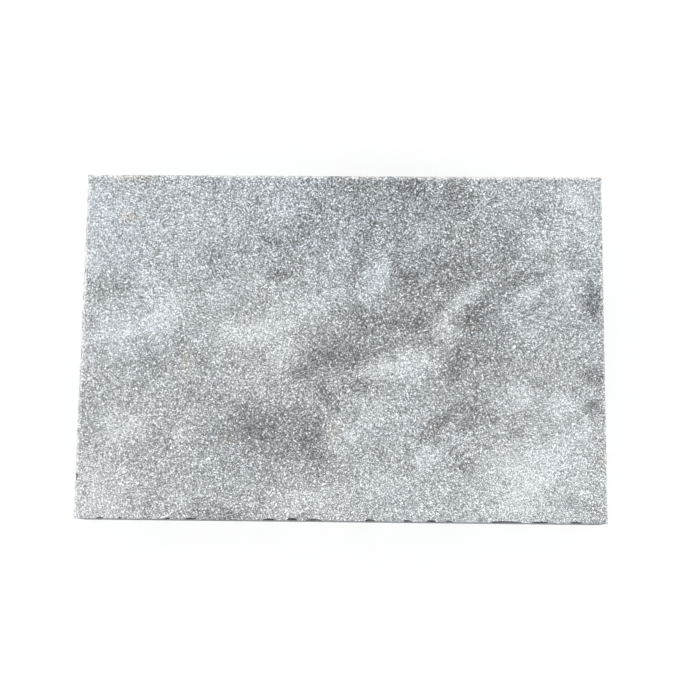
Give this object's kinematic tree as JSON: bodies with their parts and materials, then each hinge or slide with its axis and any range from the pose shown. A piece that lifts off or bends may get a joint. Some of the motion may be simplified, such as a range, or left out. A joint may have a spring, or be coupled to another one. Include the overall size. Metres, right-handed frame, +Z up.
{
  "type": "leatherworking slab",
  "caption": "Flat rectangular block of pale grey crystalline stone with a honed top, a firm bed for tooling and stamping leather.",
  "frame": {"origin": "centre of the base, on the bench that the slab lies on", "axes": "+X along the slab's length, +Y across it and away from the person who works at it, +Z up out of the work face"},
  "size_m": [0.3, 0.2, 0.03],
  "materials": {
    "honed_stone": "matte"
  },
  "bodies": {
    "root": {"stone_slab": "honed_stone"}
  },
  "joints": []
}
